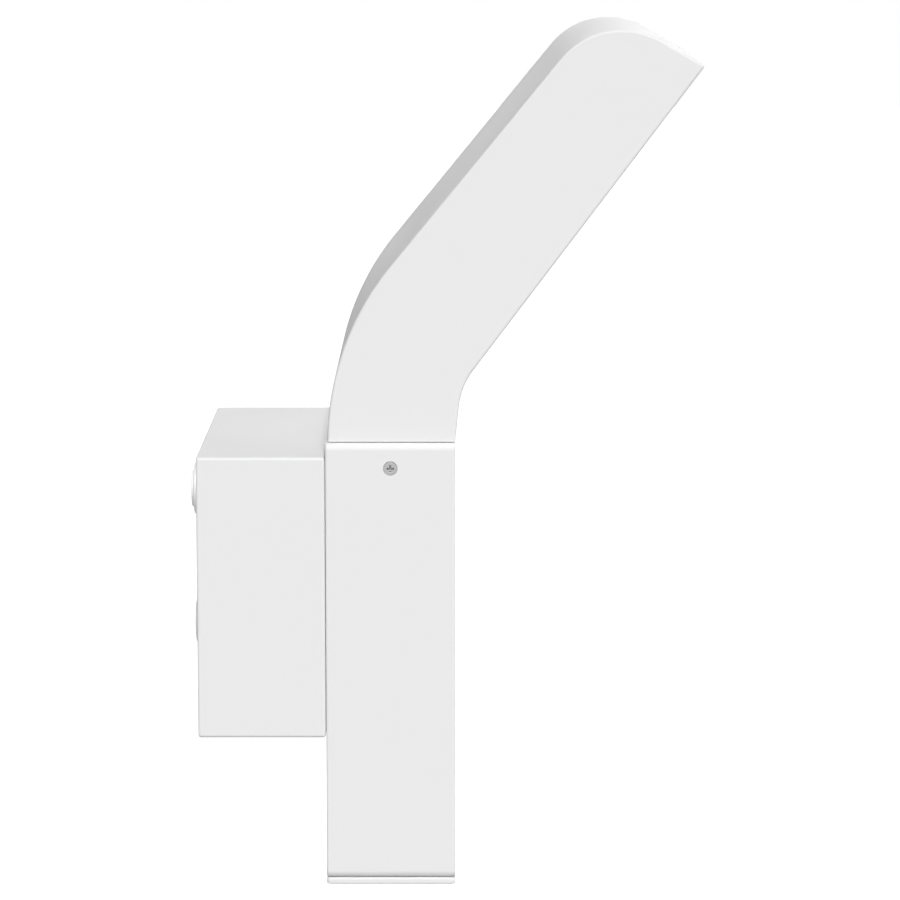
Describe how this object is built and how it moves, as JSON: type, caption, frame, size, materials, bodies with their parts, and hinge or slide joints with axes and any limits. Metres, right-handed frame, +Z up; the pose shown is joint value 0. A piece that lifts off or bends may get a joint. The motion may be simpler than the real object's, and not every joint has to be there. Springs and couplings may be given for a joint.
{
  "type": "outdoor wall light",
  "caption": "Outdoor wall light: a rear box on the wall, an upright post and a bent head with a slanted light opening underneath.",
  "frame": {"origin": "middle of the wall plate's rear face, on the wall", "axes": "+Y into the wall, +Z up, +X to the right seen from in front of the wall looking at it"},
  "size_m": [0.1, 0.1451, 0.24],
  "materials": {
    "white_paint": "fine matt white powder coat",
    "zinc_steel": "zinc plated sheet",
    "screw_steel": "stainless screw",
    "aluminium": "bare sheet",
    "grey_rubber": "soft pale grey rubber",
    "black_rubber": "black seal rubber",
    "white_plastic": "white moulding",
    "opal_plastic": "opal light-diffusing sheet",
    "board_white": "white solder mask",
    "wire_brown": "wire insulation",
    "wire_blue": "wire insulation",
    "wire_green_yellow": "wire insulation",
    "wire_red": "wire insulation",
    "wire_black": "wire insulation"
  },
  "bodies": {
    "root": {"bezel": "white_paint", "bezel_screw_1": "screw_steel", "bezel_screw_2": "screw_steel", "bezel_screw_3": "screw_steel", "bezel_screw_4": "screw_steel", "blanking_plug": "grey_rubber", "bottom_cap": "white_paint", "bottom_cap_screw_1": "screw_steel", "bottom_cap_screw_2": "screw_steel", "bottom_cap_screw_3": "screw_steel", "bottom_cap_screw_4": "screw_steel", "bottom_cap_seal": "black_rubber", "box_lock_screw_1": "screw_steel", "box_lock_screw_2": "screw_steel", "box_post_screw_1": "screw_steel", "box_post_screw_2": "screw_steel", "box_post_screw_3": "screw_steel", "box_post_screw_4": "screw_steel", "cable_clamp": "white_plastic", "cable_clamp_screw_1": "screw_steel", "cable_clamp_screw_2": "screw_steel", "cable_entry": "grey_rubber", "earth_lug": "zinc_steel", "earth_screw": "screw_steel", "engine_screw_1": "screw_steel", "engine_screw_2": "screw_steel", "engine_screw_3": "screw_steel", "engine_screw_4": "screw_steel", "head_shell": "white_paint", "heat_spreader": "aluminium", "led_board": "board_white", "led_connector": "white_plastic", "led_driver": "white_plastic", "led_driver_screw_1": "screw_steel", "led_driver_screw_2": "screw_steel", "neck_seal": "black_rubber", "opal_pane": "opal_plastic", "pane_seal": "black_rubber", "passage_bush": "black_rubber", "passage_seal": "black_rubber", "post_shell": "white_paint", "rear_box": "white_paint", "reflector": "white_plastic", "side_screw_left": "screw_steel", "side_screw_right": "screw_steel", "terminal_block": "white_plastic", "terminal_fixing_1": "screw_steel", "terminal_fixing_2": "screw_steel", "terminal_screw_1": "screw_steel", "terminal_screw_2": "screw_steel", "terminal_screw_3": "screw_steel", "wall_plate": "zinc_steel", "wall_seal": "black_rubber", "wire_earth": "wire_green_yellow", "wire_led_negative": "wire_black", "wire_led_positive": "wire_red", "wire_line": "wire_brown", "wire_neutral": "wire_blue"}
  },
  "joints": []
}
